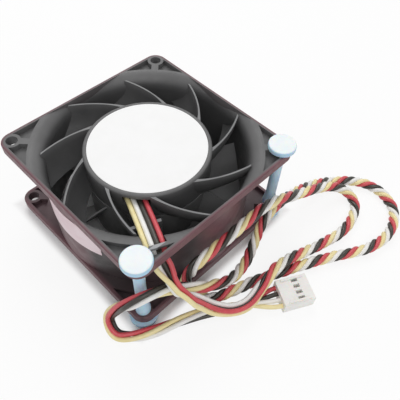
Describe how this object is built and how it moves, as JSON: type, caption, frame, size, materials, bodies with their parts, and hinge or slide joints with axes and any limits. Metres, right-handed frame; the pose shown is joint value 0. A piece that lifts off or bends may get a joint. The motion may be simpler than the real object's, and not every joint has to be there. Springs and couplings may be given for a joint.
{
  "type": "server cooling fan",
  "caption": "Square axial cooling fan with a swept-vane guide ring, moulded impeller on ball bearings, soft mount pins and a looped four-wire lead with a plug.",
  "frame": {"origin": "on the fan's axis, at the height of the mount pins' undersides, on which the fan rests", "axes": "+Z along the axis in the air's direction, towards the label; +X and +Y along the square's sides; the leads leave at the corner towards -X and -Y"},
  "size_m": [0.1331, 0.1233, 0.0422],
  "materials": {
    "housing_plastic": "moulded glass-filled plastic, fine grain, charcoal with a reddish cast",
    "rotor_plastic": "moulded black plastic",
    "label_paper": "plain white film, unprinted",
    "pin_elastomer": "soft pale-blue elastomer",
    "yellow_insulation": "yellow wire insulation",
    "white_insulation": "white wire insulation",
    "black_insulation": "black wire insulation",
    "red_insulation": "red wire insulation",
    "cable_bundle": "twisted bundle of the four leads",
    "connector_nylon": "white nylon",
    "contact_tin": "tinned contact strip",
    "yoke_steel": "drawn steel cup",
    "magnet": "bonded ferrite",
    "bush_brass": "turned brass",
    "bearing_steel": "polished bearing steel",
    "cage_steel": "pressed steel",
    "spring_steel": "spring steel",
    "core_steel": "stacked sheet steel",
    "insulator_plastic": "natural nylon",
    "copper": "enamelled copper wire",
    "board": "glass-epoxy board",
    "chip": "black moulding compound",
    "can": "aluminium can"
  },
  "bodies": {
    "stator": {"fan_housing": "housing_plastic", "guide_vanes": "housing_plastic", "motor_base": "housing_plastic", "hub_label": "label_paper", "side_sticker": "label_paper", "bearing_sleeve": "bush_brass", "stator_core": "core_steel", "upper_insulator": "insulator_plastic", "lower_insulator": "insulator_plastic", "windings": "copper", "circuit_board": "board", "hall_sensor": "chip", "driver_chip": "chip", "capacitors": "can", "cable": "cable_bundle", "connector_housing": "connector_nylon", "connector_contacts": "contact_tin", "front_mount_pin": "pin_elastomer", "right_mount_pin": "pin_elastomer", "lead_yellow": "yellow_insulation", "lead_white": "white_insulation", "lead_black": "black_insulation", "lead_red": "red_insulation", "upper_outer_ring": "bearing_steel", "upper_shields": "cage_steel", "lower_outer_ring": "bearing_steel", "lower_shields": "cage_steel"},
    "rotor": {"impeller": "rotor_plastic", "rotor_yoke": "yoke_steel", "magnet_ring": "magnet", "shaft_bush": "bush_brass", "shaft": "bearing_steel", "retaining_clip": "spring_steel", "preload_spring": "spring_steel", "upper_inner_ring": "bearing_steel", "lower_inner_ring": "bearing_steel", "upper_cage": "cage_steel", "upper_balls": "bearing_steel", "lower_cage": "cage_steel", "lower_balls": "bearing_steel"}
  },
  "joints": [
    {"name": "impeller_spin", "type": "hinge", "parent": "stator", "child": "rotor", "pos_m": [0, 0, 0.015], "axis": [0, 0, 1], "continuous": true}
  ]
}
